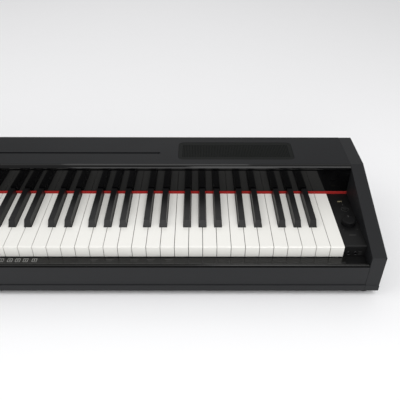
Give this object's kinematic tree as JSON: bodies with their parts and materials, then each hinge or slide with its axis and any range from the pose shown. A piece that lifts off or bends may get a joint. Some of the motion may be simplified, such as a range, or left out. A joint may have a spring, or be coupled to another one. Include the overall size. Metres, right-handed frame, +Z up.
{
  "type": "digital piano",
  "caption": "Slab digital piano: full-size keys between cheek blocks, gloss fallboard with red felt, top cover with speakers and stand slot, volume knob and power button",
  "frame": {"origin": "centre of the footprint, on the surface that the feet stand on", "axes": "X along the keyboard towards the highest note, Y from the player to the back, Z up"},
  "size_m": [1.346, 0.289, 0.1445],
  "materials": {
    "white_key_plastic": "warm white satin-gloss key tops",
    "black_key_plastic": "matte black",
    "key_frame_plastic": "dark grey moulding",
    "board_black": "foil-covered board, black",
    "end_panel_black": "foil-covered board, satin black",
    "front_rail_black": "foil-covered board, satin black",
    "key_slip_gloss": "gloss black",
    "red_felt": "red felt",
    "fallboard_gloss": "mirror-gloss black",
    "top_cover_black": "satin black",
    "grille_black": "perforated plate, matte black",
    "speaker_black": "black basket and magnet",
    "cheek_black": "satin black moulding",
    "socket_black": "black moulding",
    "knob_black": "black, soft touch",
    "button_black": "black",
    "socket_panel_black": "black",
    "circuit_green": "green solder mask",
    "foot_rubber": "black rubber"
  },
  "bodies": {
    "case": {"bottom_board": "board_black", "rear_panel": "board_black", "left_end_panel": "end_panel_black", "right_end_panel": "end_panel_black", "front_rail": "front_rail_black", "key_slip": "key_slip_gloss", "fallboard": "fallboard_gloss", "key_felt": "red_felt", "top_cover": "top_cover_black", "left_cheek_block": "cheek_black", "right_cheek_block": "cheek_black", "left_speaker_grille": "grille_black", "right_speaker_grille": "grille_black", "left_speaker": "speaker_black", "right_speaker": "speaker_black", "key_frame": "key_frame_plastic", "main_circuit_board": "circuit_green", "headphone_jack_block": "socket_black", "rear_socket_panel": "socket_panel_black", "front_left_foot": "foot_rubber", "front_right_foot": "foot_rubber", "rear_left_foot": "foot_rubber", "rear_right_foot": "foot_rubber"},
    "white_key_comb_1": {"white_key_comb_1": "white_key_plastic"},
    "black_key_comb_1": {"black_key_comb_1": "black_key_plastic"},
    "white_key_comb_2": {"white_key_comb_2": "white_key_plastic"},
    "black_key_comb_2": {"black_key_comb_2": "black_key_plastic"},
    "white_key_comb_3": {"white_key_comb_3": "white_key_plastic"},
    "black_key_comb_3": {"black_key_comb_3": "black_key_plastic"},
    "white_key_comb_4": {"white_key_comb_4": "white_key_plastic"},
    "black_key_comb_4": {"black_key_comb_4": "black_key_plastic"},
    "white_key_comb_5": {"white_key_comb_5": "white_key_plastic"},
    "black_key_comb_5": {"black_key_comb_5": "black_key_plastic"},
    "white_key_C6": {"white_key_C6": "white_key_plastic"},
    "black_key_C_sharp_6": {"black_key_C_sharp_6": "black_key_plastic"},
    "white_key_D6": {"white_key_D6": "white_key_plastic"},
    "black_key_D_sharp_6": {"black_key_D_sharp_6": "black_key_plastic"},
    "white_key_E6": {"white_key_E6": "white_key_plastic"},
    "white_key_F6": {"white_key_F6": "white_key_plastic"},
    "black_key_F_sharp_6": {"black_key_F_sharp_6": "black_key_plastic"},
    "white_key_G6": {"white_key_G6": "white_key_plastic"},
    "black_key_G_sharp_6": {"black_key_G_sharp_6": "black_key_plastic"},
    "white_key_A6": {"white_key_A6": "white_key_plastic"},
    "black_key_A_sharp_6": {"black_key_A_sharp_6": "black_key_plastic"},
    "white_key_B6": {"white_key_B6": "white_key_plastic"},
    "white_key_C7": {"white_key_C7": "white_key_plastic"},
    "black_key_C_sharp_7": {"black_key_C_sharp_7": "black_key_plastic"},
    "white_key_D7": {"white_key_D7": "white_key_plastic"},
    "black_key_D_sharp_7": {"black_key_D_sharp_7": "black_key_plastic"},
    "white_key_E7": {"white_key_E7": "white_key_plastic"},
    "white_key_F7": {"white_key_F7": "white_key_plastic"},
    "black_key_F_sharp_7": {"black_key_F_sharp_7": "black_key_plastic"},
    "white_key_G7": {"white_key_G7": "white_key_plastic"},
    "black_key_G_sharp_7": {"black_key_G_sharp_7": "black_key_plastic"},
    "white_key_A7": {"white_key_A7": "white_key_plastic"},
    "black_key_A_sharp_7": {"black_key_A_sharp_7": "black_key_plastic"},
    "white_key_B7": {"white_key_B7": "white_key_plastic"},
    "white_key_C8": {"white_key_C8": "white_key_plastic"},
    "volume_knob": {"volume_knob": "knob_black"},
    "power_button": {"power_button": "button_black"}
  },
  "joints": [
    {"name": "white_key_comb_1_press", "type": "hinge", "parent": "case", "child": "white_key_comb_1", "pos_m": [-0.48175, 0.0887, 0.073], "axis": [1, 0, 0], "range_deg": [0, 2.79], "stiffness_Nm_per_rad": 5.4, "springref_deg": -17.19},
    {"name": "black_key_comb_1_press", "type": "hinge", "parent": "case", "child": "black_key_comb_1", "pos_m": [-0.48175, 0.0887, 0.073], "axis": [1, 0, 0], "range_deg": [0, 2.79], "stiffness_Nm_per_rad": 3.6, "springref_deg": -17.19},
    {"name": "white_key_comb_2_press", "type": "hinge", "parent": "case", "child": "white_key_comb_2", "pos_m": [-0.31725, 0.0887, 0.073], "axis": [1, 0, 0], "range_deg": [0, 2.79], "stiffness_Nm_per_rad": 4.2, "springref_deg": -17.19},
    {"name": "black_key_comb_2_press", "type": "hinge", "parent": "case", "child": "black_key_comb_2", "pos_m": [-0.31725, 0.0887, 0.073], "axis": [1, 0, 0], "range_deg": [0, 2.79], "stiffness_Nm_per_rad": 3, "springref_deg": -17.19},
    {"name": "white_key_comb_3_press", "type": "hinge", "parent": "case", "child": "white_key_comb_3", "pos_m": [-0.15275, 0.0887, 0.073], "axis": [1, 0, 0], "range_deg": [0, 2.79], "stiffness_Nm_per_rad": 4.2, "springref_deg": -17.19},
    {"name": "black_key_comb_3_press", "type": "hinge", "parent": "case", "child": "black_key_comb_3", "pos_m": [-0.15275, 0.0887, 0.073], "axis": [1, 0, 0], "range_deg": [0, 2.79], "stiffness_Nm_per_rad": 3, "springref_deg": -17.19},
    {"name": "white_key_comb_4_press", "type": "hinge", "parent": "case", "child": "white_key_comb_4", "pos_m": [0.01175, 0.0887, 0.073], "axis": [1, 0, 0], "range_deg": [0, 2.79], "stiffness_Nm_per_rad": 4.2, "springref_deg": -17.19},
    {"name": "black_key_comb_4_press", "type": "hinge", "parent": "case", "child": "black_key_comb_4", "pos_m": [0.01175, 0.0887, 0.073], "axis": [1, 0, 0], "range_deg": [0, 2.79], "stiffness_Nm_per_rad": 3, "springref_deg": -17.19},
    {"name": "white_key_comb_5_press", "type": "hinge", "parent": "case", "child": "white_key_comb_5", "pos_m": [0.17625, 0.0887, 0.073], "axis": [1, 0, 0], "range_deg": [0, 2.79], "stiffness_Nm_per_rad": 4.2, "springref_deg": -17.19},
    {"name": "black_key_comb_5_press", "type": "hinge", "parent": "case", "child": "black_key_comb_5", "pos_m": [0.17625, 0.0887, 0.073], "axis": [1, 0, 0], "range_deg": [0, 2.79], "stiffness_Nm_per_rad": 3, "springref_deg": -17.19},
    {"name": "white_key_C6_press", "type": "hinge", "parent": "case", "child": "white_key_C6", "pos_m": [0.27025, 0.0887, 0.073], "axis": [1, 0, 0], "range_deg": [0, 2.79], "stiffness_Nm_per_rad": 0.6, "springref_deg": -17.19},
    {"name": "black_key_C_sharp_6_press", "type": "hinge", "parent": "case", "child": "black_key_C_sharp_6", "pos_m": [0.27965, 0.0887, 0.073], "axis": [1, 0, 0], "range_deg": [0, 2.79], "stiffness_Nm_per_rad": 0.6, "springref_deg": -17.19},
    {"name": "white_key_D6_press", "type": "hinge", "parent": "case", "child": "white_key_D6", "pos_m": [0.29375, 0.0887, 0.073], "axis": [1, 0, 0], "range_deg": [0, 2.79], "stiffness_Nm_per_rad": 0.6, "springref_deg": -17.19},
    {"name": "black_key_D_sharp_6_press", "type": "hinge", "parent": "case", "child": "black_key_D_sharp_6", "pos_m": [0.30785, 0.0887, 0.073], "axis": [1, 0, 0], "range_deg": [0, 2.79], "stiffness_Nm_per_rad": 0.6, "springref_deg": -17.19},
    {"name": "white_key_E6_press", "type": "hinge", "parent": "case", "child": "white_key_E6", "pos_m": [0.31725, 0.0887, 0.073], "axis": [1, 0, 0], "range_deg": [0, 2.79], "stiffness_Nm_per_rad": 0.6, "springref_deg": -17.19},
    {"name": "white_key_F6_press", "type": "hinge", "parent": "case", "child": "white_key_F6", "pos_m": [0.34075, 0.0887, 0.073], "axis": [1, 0, 0], "range_deg": [0, 2.79], "stiffness_Nm_per_rad": 0.6, "springref_deg": -17.19},
    {"name": "black_key_F_sharp_6_press", "type": "hinge", "parent": "case", "child": "black_key_F_sharp_6", "pos_m": [0.34914, 0.0887, 0.073], "axis": [1, 0, 0], "range_deg": [0, 2.79], "stiffness_Nm_per_rad": 0.6, "springref_deg": -17.19},
    {"name": "white_key_G6_press", "type": "hinge", "parent": "case", "child": "white_key_G6", "pos_m": [0.36425, 0.0887, 0.073], "axis": [1, 0, 0], "range_deg": [0, 2.79], "stiffness_Nm_per_rad": 0.6, "springref_deg": -17.19},
    {"name": "black_key_G_sharp_6_press", "type": "hinge", "parent": "case", "child": "black_key_G_sharp_6", "pos_m": [0.376, 0.0887, 0.073], "axis": [1, 0, 0], "range_deg": [0, 2.79], "stiffness_Nm_per_rad": 0.6, "springref_deg": -17.19},
    {"name": "white_key_A6_press", "type": "hinge", "parent": "case", "child": "white_key_A6", "pos_m": [0.38775, 0.0887, 0.073], "axis": [1, 0, 0], "range_deg": [0, 2.79], "stiffness_Nm_per_rad": 0.6, "springref_deg": -17.19},
    {"name": "black_key_A_sharp_6_press", "type": "hinge", "parent": "case", "child": "black_key_A_sharp_6", "pos_m": [0.40286, 0.0887, 0.073], "axis": [1, 0, 0], "range_deg": [0, 2.79], "stiffness_Nm_per_rad": 0.6, "springref_deg": -17.19},
    {"name": "white_key_B6_press", "type": "hinge", "parent": "case", "child": "white_key_B6", "pos_m": [0.41125, 0.0887, 0.073], "axis": [1, 0, 0], "range_deg": [0, 2.79], "stiffness_Nm_per_rad": 0.6, "springref_deg": -17.19},
    {"name": "white_key_C7_press", "type": "hinge", "parent": "case", "child": "white_key_C7", "pos_m": [0.43475, 0.0887, 0.073], "axis": [1, 0, 0], "range_deg": [0, 2.79], "stiffness_Nm_per_rad": 0.6, "springref_deg": -17.19},
    {"name": "black_key_C_sharp_7_press", "type": "hinge", "parent": "case", "child": "black_key_C_sharp_7", "pos_m": [0.44415, 0.0887, 0.073], "axis": [1, 0, 0], "range_deg": [0, 2.79], "stiffness_Nm_per_rad": 0.6, "springref_deg": -17.19},
    {"name": "white_key_D7_press", "type": "hinge", "parent": "case", "child": "white_key_D7", "pos_m": [0.45825, 0.0887, 0.073], "axis": [1, 0, 0], "range_deg": [0, 2.79], "stiffness_Nm_per_rad": 0.6, "springref_deg": -17.19},
    {"name": "black_key_D_sharp_7_press", "type": "hinge", "parent": "case", "child": "black_key_D_sharp_7", "pos_m": [0.47235, 0.0887, 0.073], "axis": [1, 0, 0], "range_deg": [0, 2.79], "stiffness_Nm_per_rad": 0.6, "springref_deg": -17.19},
    {"name": "white_key_E7_press", "type": "hinge", "parent": "case", "child": "white_key_E7", "pos_m": [0.48175, 0.0887, 0.073], "axis": [1, 0, 0], "range_deg": [0, 2.79], "stiffness_Nm_per_rad": 0.6, "springref_deg": -17.19},
    {"name": "white_key_F7_press", "type": "hinge", "parent": "case", "child": "white_key_F7", "pos_m": [0.50525, 0.0887, 0.073], "axis": [1, 0, 0], "range_deg": [0, 2.79], "stiffness_Nm_per_rad": 0.6, "springref_deg": -17.19},
    {"name": "black_key_F_sharp_7_press", "type": "hinge", "parent": "case", "child": "black_key_F_sharp_7", "pos_m": [0.51364, 0.0887, 0.073], "axis": [1, 0, 0], "range_deg": [0, 2.79], "stiffness_Nm_per_rad": 0.6, "springref_deg": -17.19},
    {"name": "white_key_G7_press", "type": "hinge", "parent": "case", "child": "white_key_G7", "pos_m": [0.52875, 0.0887, 0.073], "axis": [1, 0, 0], "range_deg": [0, 2.79], "stiffness_Nm_per_rad": 0.6, "springref_deg": -17.19},
    {"name": "black_key_G_sharp_7_press", "type": "hinge", "parent": "case", "child": "black_key_G_sharp_7", "pos_m": [0.5405, 0.0887, 0.073], "axis": [1, 0, 0], "range_deg": [0, 2.79], "stiffness_Nm_per_rad": 0.6, "springref_deg": -17.19},
    {"name": "white_key_A7_press", "type": "hinge", "parent": "case", "child": "white_key_A7", "pos_m": [0.55225, 0.0887, 0.073], "axis": [1, 0, 0], "range_deg": [0, 2.79], "stiffness_Nm_per_rad": 0.6, "springref_deg": -17.19},
    {"name": "black_key_A_sharp_7_press", "type": "hinge", "parent": "case", "child": "black_key_A_sharp_7", "pos_m": [0.56736, 0.0887, 0.073], "axis": [1, 0, 0], "range_deg": [0, 2.79], "stiffness_Nm_per_rad": 0.6, "springref_deg": -17.19},
    {"name": "white_key_B7_press", "type": "hinge", "parent": "case", "child": "white_key_B7", "pos_m": [0.57575, 0.0887, 0.073], "axis": [1, 0, 0], "range_deg": [0, 2.79], "stiffness_Nm_per_rad": 0.6, "springref_deg": -17.19},
    {"name": "white_key_C8_press", "type": "hinge", "parent": "case", "child": "white_key_C8", "pos_m": [0.59925, 0.0887, 0.073], "axis": [1, 0, 0], "range_deg": [0, 2.79], "stiffness_Nm_per_rad": 0.6, "springref_deg": -17.19},
    {"name": "volume_knob_turn", "type": "hinge", "parent": "case", "child": "volume_knob", "pos_m": [0.6308, -0.0548, 0.086], "axis": [0, 0, 1], "range_deg": [-150, 150]},
    {"name": "power_button_press", "type": "slide", "parent": "case", "child": "power_button", "axis": [0, 0, -1], "range_m": [0, 0.0015], "stiffness_N_per_m": 150, "springref_m": -0.003}
  ]
}
